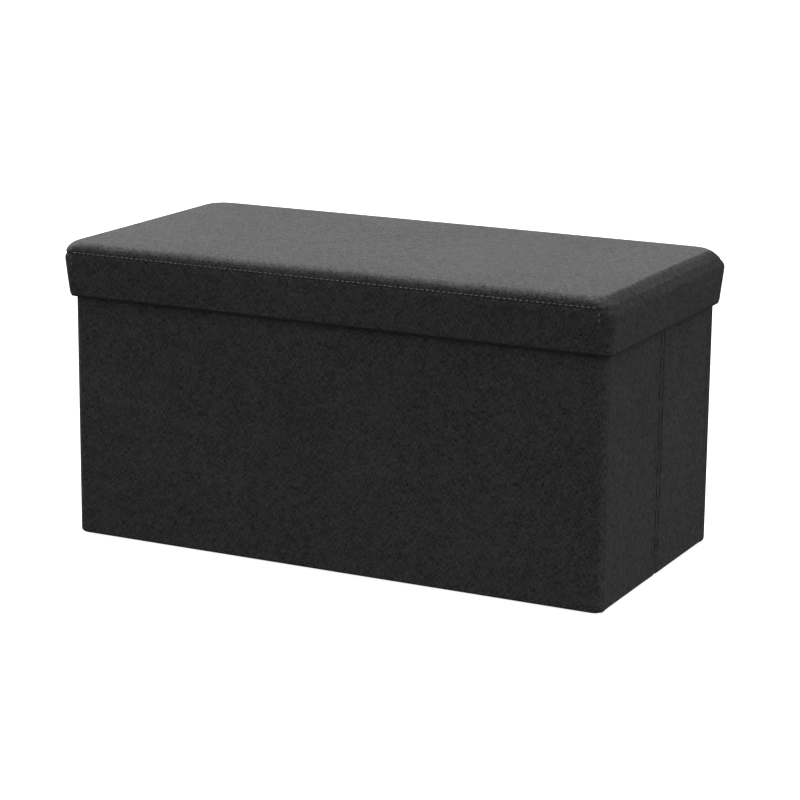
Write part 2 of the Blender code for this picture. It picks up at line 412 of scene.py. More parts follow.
def crossing_waves(shader, place, pitch):
    """Hills and pits from -1 to 1, in rows both ways over the cloth."""
    split = shader.node("ShaderNodeSeparateXYZ", {0: place})
    waves = [
        shader.math("SINE", shader.math("MULTIPLY", split.outputs[axis], 2 * pi / pitch)) for axis in (0, 1)
    ]
    return shader.math("MULTIPLY", waves[0], waves[1])


def make_liner():
    """Black non-woven lining, pressed with small pits."""
    shader = Shader("liner_cloth", Sheen_Weight=0.15, Sheen_Roughness=0.5, Specular_IOR_Level=0.3)
    fibres = shader.noise("UV", (420, 420, 1), 4.0, 0.7)
    broad = shader.noise("Object", (14, 14, 14), 3.0)
    pits = crossing_waves(shader, shader.coordinates.outputs["UV"], 0.0022)
    tone = shader.math("ADD", shader.spread(fibres, 0.0, 0.6), shader.spread(broad, 0.0, 0.3))
    tone = shader.math("ADD", tone, shader.spread(pits, 0.0, 0.12, -1, 1))
    colour = shader.colours(tone, (0.016, 0.016, 0.0165), (0.050, 0.050, 0.051))
    height = shader.math("ADD", shader.math("MULTIPLY", pits, 0.5), fibres)
    return shader.finish(Base_Color=colour, Roughness=shader.spread(fibres, 0.72, 0.9),
                         Normal=shader.bump(height, 0.0004, 0.8))


def make_board():
    """Raw fibreboard: tan, with fine fibres."""
    shader = Shader("raw_fibreboard", Specular_IOR_Level=0.3)
    fine = shader.noise("Object", (700, 700, 700), 3.0, 0.7)
    broad = shader.noise("Object", (18, 18, 18), 3.0)
    tone = shader.math("ADD", shader.spread(fine, 0.0, 0.7), shader.spread(broad, 0.0, 0.3))
    colour = shader.colours(tone, (0.24, 0.155, 0.09), (0.42, 0.30, 0.19))
    return shader.finish(Base_Color=colour, Roughness=shader.spread(fine, 0.65, 0.85),
                         Normal=shader.bump(fine, 0.0003, 0.5))


def make_foam():
    """Cream foam with open cells."""
    shader = Shader("pad_foam", Specular_IOR_Level=0.2, Roughness=0.95)
    cells = shader.node(
        "ShaderNodeTexVoronoi", {"Vector": shader.scaled("Object", (900, 900, 900)), "Scale": 1.0}
    ).outputs["Distance"]
    broad = shader.noise("Object", (20, 20, 20), 3.0)
    tone = shader.math("ADD", shader.spread(cells, 0.0, 0.7, 0.0, 0.8), shader.spread(broad, 0.0, 0.3))
    colour = shader.colours(tone, (0.50, 0.46, 0.34), (0.80, 0.76, 0.62))
    return shader.finish(Base_Color=colour, Normal=shader.bump(cells, 0.0006, 0.8))


def make_ribbon():
    """Black ribbed ribbon."""
    shader = Shader("ribbed_ribbon", Sheen_Weight=0.2, Sheen_Roughness=0.3, Specular_IOR_Level=0.4)
    split = shader.node("ShaderNodeSeparateXYZ", {0: shader.coordinates.outputs["UV"]})
    ribs = shader.math("SINE", shader.math("MULTIPLY", split.outputs[1], 2 * pi / 0.0011))
    fibres = shader.noise("UV", (900, 120, 1), 2.0)
    tone = shader.math("ADD", shader.spread(ribs, 0.0, 0.4, -1, 1), shader.spread(fibres, 0.0, 0.6))
    colour = shader.colours(tone, (0.010, 0.010, 0.0105), (0.038, 0.038, 0.04))
    return shader.finish(Base_Color=colour, Roughness=shader.spread(fibres, 0.5, 0.7),
                         Normal=shader.bump(ribs, 0.0003, 0.8))


def make_thread(name, dark, light):
    """Twisted sewing thread."""
    shader = Shader(name, Sheen_Weight=0.4, Sheen_Roughness=0.3, Specular_IOR_Level=0.4)
    twist = shader.noise("Object", (2600, 2600, 2600), 2.0)
    colour = shader.colours(shader.spread(twist, 0.0, 1.0), (dark,) * 3, (light,) * 3)
    return shader.finish(Base_Color=colour, Roughness=shader.spread(twist, 0.5, 0.75),
                         Normal=shader.bump(twist, 0.0002, 0.6))


def make_staple_wire():
    """Galvanised staple wire."""
    shader = Shader("staple_wire", Metallic=1.0)
    scuffs = shader.noise("Object", (800, 800, 800), 3.0)
    colour = shader.colours(shader.spread(scuffs, 0.0, 1.0), (0.42, 0.42, 0.43), (0.62, 0.62, 0.63))
    return shader.finish(Base_Color=colour, Roughness=shader.spread(scuffs, 0.28, 0.5))


def make_floor_paint():
    """Matt pale studio floor."""
    glow = {"Emission_Color": (1, 1, 1, 1), "Emission_Strength": FLOOR_GLOW}
    shader = Shader("studio_floor", Specular_IOR_Level=0.2, **glow)
    tone = shader.noise("Object", (2, 2, 2), 2.0)
    colour = shader.colours(tone, (0.60, 0.60, 0.60), (0.62, 0.62, 0.62))
    return shader.finish(Base_Color=colour, Roughness=shader.spread(tone, 0.85, 0.9))


UPHOLSTERY = make_upholstery()
LINER = make_liner()
BOARD = make_board()
FOAM = make_foam()
RIBBON_CLOTH = make_ribbon()
THREAD = make_thread("sewing_thread", 0.30, 0.55)
STAPLE_WIRE = make_staple_wire()


# ---------------------------------------------------------------- stitches

def stitch_row(name, path, outward, body, radius=STITCH_RADIUS, thread=None, length=STITCH_LENGTH):
    """Short threads laid along a path of points. outward gives the way off the cloth at each point."""
    sections, sides = 4, 6
    points = np.array(path, float)
    normals = np.array(outward, float)
    lengths = np.r_[0, np.cumsum(np.linalg.norm(np.diff(points, axis=0), axis=1))]
    vertices, faces = [], []
    pitch = length + STITCH_GAP
    place = (lengths[-1] % pitch) / 2 + pitch / 2
    while place < lengths[-1] - length / 2:
        ends = [
            np.array([np.interp(place + d, lengths, points[:, k]) for k in range(3)])
            for d in (-length / 2, length / 2)
        ]
        up = np.array([np.interp(place, lengths, normals[:, k]) for k in range(3)])
        up /= np.linalg.norm(up)
        along = (ends[1] - ends[0]) / np.linalg.norm(ends[1] - ends[0])
        side = np.cross(along, up)
        first = len(vertices)
        for i in range(sections + 1):
            t = i / sections
            bulge = sin(pi * (0.08 + 0.84 * t))
            centre = ends[0] + (ends[1] - ends[0]) * t + up * radius * (0.9 * bulge - 0.45)
            for j in range(sides):
                turn = 2 * pi * j / sides
                ring = radius * (0.35 + 0.65 * bulge)
                vertices.append(centre + ring * (side * cos(turn) + up * sin(turn)))
        faces += bands(sections + 1, sides, first)
        faces += [[cap + j for j in range(sides)] for cap in (first, first + sections * sides)]
        place += pitch
    stitches = make_object(name, vertices, faces, thread or THREAD, sharp=80)
    if body:
        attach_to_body(stitches, body)
    return stitches


# ---------------------------------------------------------------- lid

def lid_side_draw(z):
    """How far the lid's side stands in from its widest outline at a height below the top edge."""
    t = share(z, HEM_Z, SEAM_Z)
    tuck = LID_HEM_TUCK * (1 - t) ** 1.6
    bulge = LID_BULGE * sin(pi / 2 * t) ** 2 * (1.0 if z < SEAM_Z else bell(z - SEAM_Z, 0.012))
    puff = 0.0006 * bell(z - SEAM_Z - 0.0045, 0.0032) + 0.0003 * bell(z - SEAM_Z + 0.006, 0.005)
    return tuck + seam_groove(z) - puff - bulge


def seam_groove(z):
    """How deep the seam round the cushion is drawn in at a height."""
    return SEAM_DEPTH * bell(z - SEAM_Z, 0.0012)


def lid_section():
    """(draw-in, height) along the lid's section, from inside the skirt, round the hem, to the top."""
    inner = LID_HIGH.x - RIM_INNER + 0.001
    hem_half = (inner - LID_HEM_TUCK) / 2
    turn_z = HEM_Z + hem_half
    section = [(inner, z) for z in steps(BOARD_UNDER - 2 * GAP, turn_z, 0.006)[:-1]]
    section += [
        (inner - hem_half + hem_half * cos(a), turn_z - hem_half * sin(a))
        for a in (pi * i / 10 for i in range(11))
    ]
    edge_z = LID_TOP - LID_EDGE_ROUND
    heights = steps(turn_z, SEAM_Z - 0.006, LID_ROW)[1:] + steps(SEAM_Z - 0.006, SEAM_Z + 0.002, 0.0006)[1:]
    heights += steps(heights[-1], edge_z, 0.0008)[1:] if edge_z > heights[-1] + 0.0004 else []
    section += [(lid_side_draw(z), z) for z in heights]
    for i in range(1, 11):
        a = pi / 2 * i / 10
        draw = LID_EDGE_ROUND * (1 - cos(a))
        section.append((draw + lid_side_draw(edge_z) * (1 - i / 10), edge_z + LID_EDGE_ROUND * sin(a)))
    return section


def shoulder(z):
    """How far the cushion's right end has sloped back at a height, for foam pulled down at that end."""
    rise = share(z, SHOULDER_Z, LID_TOP)
    return SHOULDER_WIDTH * (0.72 * rise ** 1.15 + 0.28 * (1 - sqrt(1 - rise * rise)))


def lid_plan(draw, z):
    """Middle x, half length, half depth and corner radius of the lid's outline at a height."""
    side_draw = draw if z < SHOULDER_Z else lid_side_draw(min(z, LID_TOP - LID_EDGE_ROUND))
    right, left = LID_HIGH.x - side_draw + seam_groove(z) - shoulder(z), LID_HIGH.x - draw
    rise = share(z, SHOULDER_Z, LID_TOP)
    radius = LID_CORNER_ROUND + (TOP_CORNER_ROUND - LID_CORNER_ROUND) * rise * sqrt(rise)
    return (right - left) / 2, (right + left) / 2, LID_HIGH.y - draw, radius


def lid_outline(draw, spacing, z=0):
    """A rounded rectangle this far inside the lid's widest outline, always with the same points."""
    middle, half_x, half_y, radius = lid_plan(draw, z)
    across, along = lid_counts(spacing)
    xs = line((-half_x, 0), (half_x, 0), count=across)
    ys = line((-half_y, 0), (half_y, 0), count=along)
    square = [(x, -half_y) for x, _ in xs] + [(half_x, y) for y, _ in ys]
    square += [(-x, half_y) for x, _ in xs] + [(-half_x, -y) for y, _ in ys]
    return [(x + middle, y) for x, y in (round_corner(a, b, half_x, half_y, radius) for a, b in square)]


def lid_counts(spacing):
    """How many columns the lid's mesh has across and along."""
    return round(2 * LID_HIGH.x / spacing), round(2 * LID_HIGH.y / spacing)


def round_corner(x, y, half_x, half_y, radius):
    """Draws the square corner of a rectangle, and the points inside it, in to a rounded corner."""
    off_x = x - min(max(x, radius - half_x), half_x - radius)
    off_y = y - min(max(y, radius - half_y), half_y - radius)
    away = hypot(off_x, off_y)
    if away < 1e-9:
        return x, y
    shrink = 1 - max(abs(off_x), abs(off_y)) / away
    return x - off_x * shrink, y - off_y * shrink


def lid_surface(section, spacing):
    """Vertices and faces of the lid's cloth: rings up its section, then a grid across the top."""
    rings = [[(x, y, z) for x, y in lid_outline(draw, spacing, z)] for draw, z in section]
    size = len(rings[0])
    vertices = [point for ring in rings for point in ring]
    faces = bands(len(rings), size)
    middle, half_x, half_y, radius = lid_plan(*section[-1])
    across, along = lid_counts(spacing)
    last = (len(rings) - 1) * size
    index = {}
    for i in range(across + 1):
        for j in range(along + 1):
            if j == 0:
                index[i, j] = last + i
            elif i == across:
                index[i, j] = last + across + j
            elif j == along:
                index[i, j] = last + 2 * across + along - i
            elif i == 0:
                index[i, j] = last + (2 * across + 2 * along - j) % size
            else:
                index[i, j] = len(vertices)
                x, y = half_x * (2 * i / across - 1), half_y * (2 * j / along - 1)
                x, y = round_corner(x, y, half_x, half_y, radius)
                vertices.append((x + middle, y, section[-1][1]))
    for i in range(across):
        for j in range(along):
            faces.append([index[i, j], index[i + 1, j], index[i + 1, j + 1], index[i, j + 1]])
    return vertices, faces


def swell():
    """Cloth simulation of the top of the lid: air pressure lifts the cloth off its seam.

    Gives the coarse rest points and how far each one moved.
    """
    section = [(draw, z) for draw, z in lid_section() if z >= SEAM_Z - 0.0002]
    vertices, faces = lid_surface(section[:-1:3] + section[-1:], SWELL_SPACING)
    cushion = make_object("lid_swell", vertices, faces, UPHOLSTERY)
    rest = np.array([v.co for v in cushion.data.vertices])
    pinned = cushion.vertex_groups.new(name="pinned")
    held = [i for i, v in enumerate(rest) if v[2] < SEAM_Z + 0.002]
    pinned.add(held, 1.0, "REPLACE")
    cloth = cushion.modifiers.new("cloth", "CLOTH")
    for setting, value in SWELL.items():
        setattr(cloth.settings, setting, value)
    cloth.settings.vertex_group_mass = "pinned"
    cloth.settings.effector_weights.gravity = 0
    cloth.point_cache.frame_start = 1
    cloth.point_cache.frame_end = SWELL_STEPS
    for step in range(1, SWELL_STEPS + 1):
        bpy.context.scene.frame_set(step)
    posed = cushion.evaluated_get(bpy.context.evaluated_depsgraph_get()).to_mesh()
    moved = np.array([v.co for v in posed.vertices]) - rest
    bpy.context.scene.frame_set(1)
    bpy.data.objects.remove(cushion)
    return rest, moved


def carried_over(vertices, rest, moved):
    """The simulated movement at other points, from the nearest simulated ones, softly capped."""
    tree = kdtree.KDTree(len(rest))
    for i, place in enumerate(rest):
        tree.insert(place, i)
    tree.balance()
    result = []
    for vertex in vertices:
        found = tree.find_n(vertex, 8)
        weights = np.array([1 / (distance + 0.002) ** 2 for _, _, distance in found])
        shift = (moved[[i for _, i, _ in found]] * weights[:, None]).sum(0) / weights.sum()
        size = np.linalg.norm(shift)
        if size > 1e-9:
            shift = shift * CROWN_CAP * (1 - exp(-size / CROWN_CAP)) / size
        fade = min(1.0, max(0.0, (vertex[2] - SEAM_Z) / 0.006))
        result.append(shift * fade)
    return np.array(result)


def pucker(s, seed):
    """Uneven gathers along a seam, from the distance along it."""
    return 0.6 * sin(2 * pi * s / 0.0117 + 2 * wobble(s, 0, 0, 9, seed)) * (0.5 + wobble(s, 1, 0, 14, seed))


def soften_lid(vertices):
    """Gathers at the seam, a slight rise and fall of the foam, and seams down the corners."""
    corner_x = LID_HIGH.x - LID_CORNER_ROUND + 0.001
    result = []
    for x, y, z in vertices:
        out = Vector((0, 0, 0))
        side_x, side_y = LID_HIGH.x - abs(x), LID_HIGH.y - abs(y)
        on_long_side = side_y < side_x
        s = x if on_long_side else y
        if LID_TOP - 0.004 > z > HEM_Z + 0.004 and min(side_x, side_y) < 0.006:
            way = Vector((0, 1 if y > 0 else -1, 0)) if on_long_side else Vector((1 if x > 0 else -1, 0, 0))
            near_seam = exp(-abs(z - SEAM_Z) / 0.0075)
            out += way * 0.00022 * pucker(s, 1.7) * near_seam
            out += way * 0.00035 * wobble(x, y, z, 22, 4.0)
            if on_long_side and z < SEAM_Z:
                out -= way * 0.0008 * bell(abs(x) - corner_x, 0.0011)
        if x > 0 and side_x < 0.05 and z > SHOULDER_Z:
            rise = (z - SHOULDER_Z) / (LID_TOP - SHOULDER_Z)
            out.x += 0.0032 * rise * wobble(0, y, 0, 13, 8.0) * max(0.0, 1 - side_x / 0.05)
        if z >= LID_TOP - 0.004:
            inside = min(1.0, min(side_x, side_y) / 0.03)
            out.z += inside * (0.0006 * wobble(x, y, 0, 9, 2.0) + 0.0002 * wobble(x, y, 0, 38, 6.0))
            edge = exp(-min(side_x, side_y) / 0.016)
            out.z += edge * 0.00025 * pucker(s, 3.3)
        result.append((x + out.x, y + out.y, z + out.z))
    return result


def add_lid_cover():
    """The lid's cloth cover, a thin shell that turns under the skirt and up inside it."""
    vertices, faces = lid_surface(lid_section(), LID_ROW)
    vertices = np.array(vertices)
    rest, moved = swell()
    vertices = vertices + carried_over(vertices, rest, moved)
    cover = make_object("lid_cushion_cover", soften_lid([tuple(v) for v in vertices]), faces, UPHOLSTERY, 60)
    thicken(cover, LID_CLOTH, even=False)
    attach(cover, "lid", "upholstery", "lid_cover")


def add_lid_stitching():
    """The rows of stitches above the lid's long seams, and short rows down its corner seams."""
    stitch_z = SEAM_Z + 0.0022
    middle, half_x, _, radius = lid_plan(lid_side_draw(stitch_z), stitch_z)
    left_x, right_x = middle - half_x + radius, middle + half_x - radius
    side_y = LID_HIGH.y - lid_side_draw(stitch_z) + 0.0004
    rows = []
    for way_y in (-1, 1):
        path = [(x, way_y * side_y, stitch_z) for x in steps(left_x, right_x, LID_ROW)]
        rows.append(stitch_row("seam", path, [(0, way_y, 0)] * len(path), None))
    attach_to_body(join("lid_seam_stitching", rows), "lid")
    rows = []
    for x in (left_x, right_x):
        for way_y in (-1, 1):
            heights = steps(SEAM_Z - 0.001, SEAM_Z - 0.017, 0.004)
            down = [(x, way_y * (LID_HIGH.y - lid_side_draw(z) + 0.0002), z) for z in heights]
            rows.append(stitch_row("corner", down, [(0, way_y, 0)] * len(down), None, radius=0.0005))
    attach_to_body(join("lid_corner_stitching", rows), "lid")


def rounded_slab(name, half_x, half_y, radius, levels, material):
    """A flat slab with rounded corners. levels gives (height, how far drawn in) from the bottom up."""
    rings = []
    for z, draw in levels:
        x, y, r = half_x - draw, half_y - draw, max(0.001, radius - draw)
        ring = []
        for quarter, (way_x, way_y) in enumerate(((1, 1), (-1, 1), (-1, -1), (1, -1))):
            ring += arc((way_x * (x - r), way_y * (y - r)), r, 90 * quarter, 90 * quarter + 90)
        rings.append([(a, b, z) for a, b in ring])
    return loft(name, rings, material)


def add_lid_board():
    """The board inside the lid, with corners as round as the cloth's."""
    low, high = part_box("lid_board")
    levels = [(low.z, 0.0004), (low.z + 0.0004, 0), (high.z - 0.0004, 0), (high.z, 0.0004)]
    board = rounded_slab("lid_board_core", high.x - 0.0012, high.y - 0.0012, LID_CORNER_ROUND, levels, BOARD)
    attach(board, "lid", "board", "lid_board")


def add_hem_shade_tape():
    """A thin black tape that shows under the skirt's hem, all the way round: painted shade, standing in for
    the shadow line under the hem.
    """
    front, back, low, high = LID_HEM_TUCK + 0.0008, LID_HEM_TUCK + 0.0016, HEM_Z - 0.0013, HEM_Z + 0.0092
    section = [(front, high), (front, low + 0.0004), (front + 0.0002, low), (back - 0.0002, low),
               (back, low + 0.0004), (back, high)]
    rings = [[(x, y, z) for x, y in lid_outline(draw, 0.006)] for draw, z in section]
    # black tape peeking below the hem: painted shade of the hem's shadow line
    tape = hoop("lid_hem_shade_tape", rings, LINER)
    attach(tape, "lid", "liner")


def add_foam_pad():
    """The foam under the lid's cloth, crowned like it."""
    low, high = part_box("lid_foam")
    round_edge, top = 0.012, high.z - 0.0012
    levels = [(low.z, 0.0)]
    for i in range(7):
        a = pi / 2 * i / 6
        levels.append((top - round_edge * (1 - sin(a)), round_edge * (1 - cos(a))))
    pad = rounded_slab("lid_foam_pad", high.x - 0.0016, high.y - 0.0016, 0.016, levels, FOAM)
    for vertex in pad.data.vertices:
        if vertex.co.x > 0:
            vertex.co.x -= shoulder(vertex.co.z + 0.004)
    attach(pad, "lid", "foam", "lid_foam")


def add_staples():
    """Staples that hold the lining to the lid's board, in one mesh."""
    low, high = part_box("lid_lining")
    inset, spacing, width, wire = 0.010, 0.045, 0.010, 0.0006
    half_x, half_y = high.x - inset, high.y - inset
    places = [(x, way * half_y, 0) for x in steps(-half_x, half_x, spacing) for way in (-1, 1)]
    places += [(way * half_x, y, 90) for y in steps(-half_y, half_y, spacing)[1:-1] for way in (-1, 1)]
    mesh = bmesh.new()
    for n, (x, y, turn) in enumerate(places):
        lean = 9 * wobble(n, 0, 0, 1.7)
        matrix = Matrix.Translation((x, y, low.z - wire / 2)) @ Matrix.Rotation(radians(turn + lean), 4, "Z")
        bmesh.ops.create_cube(mesh, size=1, matrix=matrix @ Matrix.Diagonal((width, wire * 1.6, wire, 1)))
    bmesh.ops.bevel(mesh, geom=list(mesh.edges), offset=wire * 0.3, segments=2, profile=0.5, affect="EDGES")
    data = bpy.data.meshes.new("lid_lining_staples")
    mesh.to_mesh(data)
    mesh.free()
    data.materials.append(STAPLE_WIRE)
    data.shade_smooth()
    staples = bpy.data.objects.new("lid_lining_staples", data)
    bpy.context.scene.collection.objects.link(staples)
    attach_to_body(staples, "lid")


# ---------------------------------------------------------------- box

def box_noise(x, y, z):
    """The slight unevenness of cloth stretched over board."""
    return 0.00028 * wobble(x, y, z, 7, 1.0) + 0.00012 * wobble(x, y, z, 26, 5.0)


def corner_shape(z):
    """At a height: the end's x, the face's distance from the middle, and the corner's radius."""
    end = min(z, WALL_TOP - z)
    inset = rounded_end(end, EDGE_ROUND)
    return WALL_X - inset, WALL_Y - inset, CORNER_ROUND + rounded_end(end, BOTTOM_CORNER_ROUND)


def corner_x(y, z):
    """How far out the rounded front right corner stands at a y and a height."""
    side, face, radius = corner_shape(z)
    short = radius - face - y
    return side if short <= 0 else side - radius + sqrt(max(0.0, radius * radius - short * short))


def panel_ring(z):
    """Plan outline of the front panel's cloth at a height, from one batten round to the other."""
    side, face, radius = corner_shape(z)
    recess = WALL_X - EDGE_ROUND * 0.2 - CLOTH - rounded_end(min(z, WALL_TOP - z), EDGE_ROUND)
    flap_y = WALL_Y - FLAP_START
    outer = line((radius - side, -face), (side - radius, -face), count=PANEL_COLUMNS)[1:]
    outer = [(x, y - box_noise(x, y, z) * min(1.0, (side - abs(x)) / 0.03)) for x, y in outer]
    turn = degrees(asin(min(0.0, (face - radius - flap_y - 0.0003) / radius)))
    right = arc((side - radius, radius - face), radius, -90, turn, 7)
    right += [(recess, -flap_y), (recess, -BATTEN_Y)]
    right += [(BATTEN_X, -BATTEN_Y), (BATTEN_X, -LINING_OUTER_Y - GAP)]
    left = [(-x, y) for x, y in reversed(right)]
    return [(x, y, z) for x, y in left + outer + right]


def core_ring(z):
    """Plan outline of the front panel's board, a cloth's thickness inside its cover."""
    outer_x, outer_y = WALL_X - 2 * CLOTH - 0.0006, WALL_Y - CLOTH - 0.0004
    radius = CORNER_ROUND - CLOTH
    inner_y = LINING_OUTER_Y + GAP
    right = arc((outer_x - radius, radius - outer_y), radius, -90, 0) + [(outer_x, -inner_y)]
    return [(x, y, z) for x, y in right + [(-x, y) for x, y in reversed(right)]]


def add_long_panels():
    """Boards of the front and back panels, and the cloth over them and their battens."""
    heights = rows_with_round_ends(0.0, WALL_TOP, BOTTOM_CORNER_ROUND)
    cover_rings = [panel_ring(z) for z in heights]
    core_rings = [core_ring(z) for z in (CLOTH + 0.0007, WALL_TOP - CLOTH - 0.0007)]
    for side, flip in (("front", False), ("back", True)):
        board = loft(f"{side}_panel_core", mirrored(core_rings, False, flip), BOARD)
        attach(board, f"{side}_panel", "board", f"{side}_panel_board")
        cover = loft(f"{side}_upholstery", mirrored(cover_rings, False, flip), UPHOLSTERY, open_side=True)
        thicken(cover, CLOTH)
        nodes = (f"{side}_panel_cover", f"{side}_left_batten", f"{side}_right_batten")
        attach(cover, f"{side}_panel", "upholstery", *nodes)


def half_ring(z):
    """Plan outline of the right front half's cloth at a height: corner edge, outside and fold edge."""
    end = min(z, WALL_TOP - z)
    fold_y = -FOLD_Y - rounded_end(end, NOTCH_ROUND)
    face = HALF_X + GAP - rounded_end(end, EDGE_ROUND)
    start_y = -HALF_START_Y
    outer = line((face, start_y), (face, fold_y - FOLD_ROUND), count=HALF_COLUMNS)
    outer = [(x + box_noise(x, y, z) * min(1.0, (y - start_y) / 0.03), y) for x, y in outer]
    fold = arc((face - FOLD_ROUND, fold_y - FOLD_ROUND), FOLD_ROUND, 0, 90)
    return [(x, y, z) for x, y in [(HALF[0].x, start_y)] + outer + fold + [(HALF[0].x, fold_y)]]


def add_end_halves():
    """Cloth over the four end halves."""
    rings = [half_ring(z) for z in rows_with_round_ends(0.0, WALL_TOP, NOTCH_ROUND)]
    for end, half, way_x, way_y in HALVES:
        body = f"{end}_{half}_half"
        panel = loft(f"{body}_upholstery", mirrored(rings, way_x < 0, way_y > 0), UPHOLSTERY, open_side=True)
        thicken(panel, CLOTH)
        attach(panel, body, "upholstery", f"{body}_cover")


def add_corner_flaps():
    """Cloth from the front and back panels' rounded corners over the battens and onto the ends.

    At the open pivot it stays on the back panel.
    """
    thickness, overlap, sunk = 0.0008, 0.010, 0.0004
    heights = rows_with_round_ends(thickness / 2, WALL_TOP - thickness / 2, BOTTOM_CORNER_ROUND)
    start_y, end_y = WALL_Y - FLAP_START, HALF_START_Y
    for end, half, way_x, way_y in HALVES:
        body, panel = f"{end}_{half}_half", f"{half.replace('rear', 'back')}_panel"
        is_open = body == OPEN_PIVOT_HALF
        ys = steps(start_y, end_y, 0.0012) + ([] if is_open else steps(end_y, end_y - overlap, 0.002)[1:])
        if is_open:
            ys[-1] += 0.0001

        def place(z, y):
            x = corner_x(-y, z) - thickness / 2
            on_half = share(y, start_y, end_y)
            x -= (WALL_X - HALF_X - GAP - 0.0002) * on_half + sunk * max(0.0, (end_y - y) / overlap)
            return way_x * x, way_y * y, z
        flap = make_sheet(f"{body}_corner_flap", heights, ys, place, thickness, UPHOLSTERY)
        if is_open:
            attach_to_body(flap, panel)
            continue
        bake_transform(flap)


def add_fold_strips():
    """The strip of cloth over the fold in the middle of each end, with a crease on each side of the fold and
    dark tape in each crease as its painted shade.
    """
    half_width, valley, crease = 0.0135, 0.0008, 0.0013
    heights = steps(FOLD_CLOTH[0].z, FOLD_CLOTH[1].z, ROW)
    widths = [-half_width, -half_width + 0.0008] + steps(-0.010, -0.003, 0.0005)
    widths += steps(-0.002, 0.002, 0.0005) + steps(0.003, 0.010, 0.0005)
    widths += [half_width - 0.0008, half_width]
    for end, way in ENDS:
        def place(z, y):
            dip = valley * bell(y, 0.0011) + 0.0003 * (abs(y) / half_width) ** 8
            dip += crease * bell(abs(y) - FOLD_CREASE_Y, 0.0008)
            ripple = 0.00015 * wobble(y, 0, z, 30, 3.0) * (abs(y) / half_width)
            return way * (FOLD_CLOTH[1].x - 0.0003 - dip + ripple), y, z
        strip = make_sheet(f"{end}_fold_cloth", heights, widths, place, 0.0006, UPHOLSTERY)
        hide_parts(f"{end}_fold_hinge")
        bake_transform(strip)
        # dark tape along each crease: painted shade in the crease
        for half, side in (("front", -1), ("rear", 1)):
            path = [(way * (FOLD_CLOTH[1].x - 0.0007), side * FOLD_CREASE_Y, z) for z in heights[1:-1]]
            stitch_row(f"{end}_{half}_fold_crease_shade", path, [(way, 0, 0)] * len(path), f"{end}_{half}_half",
                       radius=0.0011, thread=LINER, length=0.030)


# ---------------------------------------------------------------- lining, floor and ribbon

def slack(u, v, seed):
    """The shallow ripples of lining that is only held round its edges."""
    return 0.0004 * wobble(u, v, 0, 11, seed) + 0.00016 * wobble(u, v, 0, 42, seed + 2)


def add_wall_linings():
    """The lining inside each of the six wall panels, with a stitched hem along the top."""
    low, high = 0.0004, WALL_TOP - 0.0014
    heights = steps(low, high - 0.012, 0.008) + steps(high - 0.012, high, 0.003)[1:]

    def give(u, z, edge, seed):
        """How far the lining lies behind its face, this far from its nearer side edge."""
        hold = min(1.0, edge / 0.02, (high - z) / 0.02, z / 0.02)
        return 0.0005 - max(-0.0003, slack(u, z, seed) * max(0.0, hold))

    for side, way in SIDES:
        def place(x, z):
            return x, way * (LINING_Y + give(x, z, BATTEN_X - abs(x), 2.0 + way)), z

        columns = steps(-BATTEN_X + GAP, BATTEN_X - GAP, 0.010)
        lining = make_sheet(f"{side}_lining_cloth", columns, heights, place, LINING, LINER)
        lay(lining, f"{side}_panel", f"{side}_panel_lining")
        hem = steps(-BATTEN_X + 0.008, BATTEN_X - 0.008, 0.01)
        path = [(x, way * (LINING_Y - 0.0001), high - 0.007) for x in hem]
        inward = [(0, -way, 0)] * len(path)
        stitch_row(f"{side}_lining_stitching", path, inward, f"{side}_panel", radius=LINING_STITCH_RADIUS)
    start_y, stop_y = HALF_START_Y - 0.0002, FOLD_Y + 0.0006
    for end, half, way_x, way_y in HALVES:
        body = f"{end}_{half}_half"

        def place(y, z):
            off = give(y, z, min(start_y - y, y - stop_y), 5.0 + way_x + way_y)
            return way_x * (END_LINING[0].x + off), way_y * y, z

        columns = steps(start_y, stop_y, 0.010)
        lining = make_sheet(f"{body}_lining_cloth", columns, heights, place, LINING, LINER)
        lay(lining, body, f"{body}_lining")
        hem = steps(start_y - 0.006, stop_y + 0.006, 0.01)
        path = [(way_x * (END_LINING[0].x - 0.0001), way_y * y, high - 0.007) for y in hem]
        inward = [(-way_x, 0, 0)] * len(path)
        stitch_row(f"{body}_lining_stitching", path, inward, body, radius=LINING_STITCH_RADIUS)


def add_corner_strips():
    """The strip of lining inside each vertical corner, which is the corner's hinge."""
    low, high = CORNER_CLOTH
    depth = steps(-low.y, -high.y, 0.0018)
    heights = steps(low.z, high.z, 0.008)
    for end, half, way_x, way_y in HALVES:
        body, name = f"{end}_{half}_half", f"{end}_{half}_corner_cloth"

        def place(y, z):
            ripple = 0.0001 * wobble(y, z, way_x + way_y, 60)
            return way_x * ((low.x + high.x) / 2 + ripple), way_y * y, z

        strip = make_sheet(name, depth, heights, place, high.x - low.x, LINER)
        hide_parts(f"{end}_{half}_corner_hinge")
        if body == OPEN_PIVOT_HALF:
            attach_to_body(strip, "back_panel")
            continue
        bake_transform(strip)


def floor_section():
    """(distance from the wall, height) round a floor leaf's cloth: up the wall, over, and underneath."""
    near, far = FLOOR_BOARD_NEAR - 0.0004, FLOOR_BOARD_FAR + 0.0001
    top, under = FLOOR_COVER[1].z - 0.0004, FLOOR_BOARD[0].z - 0.0008
    section = [(d, top) for d in steps(near + 0.0006, far - 0.001, 0.010)]
    section += [(far - 0.0002, top - 0.0004), (far, top - 0.0014)]
    section += [(far, under + 0.0014), (far - 0.0004, under + 0.0004)]
    section += [(d, under) for d in steps(far - 0.0014, near + 0.002, 0.010)]
    return section


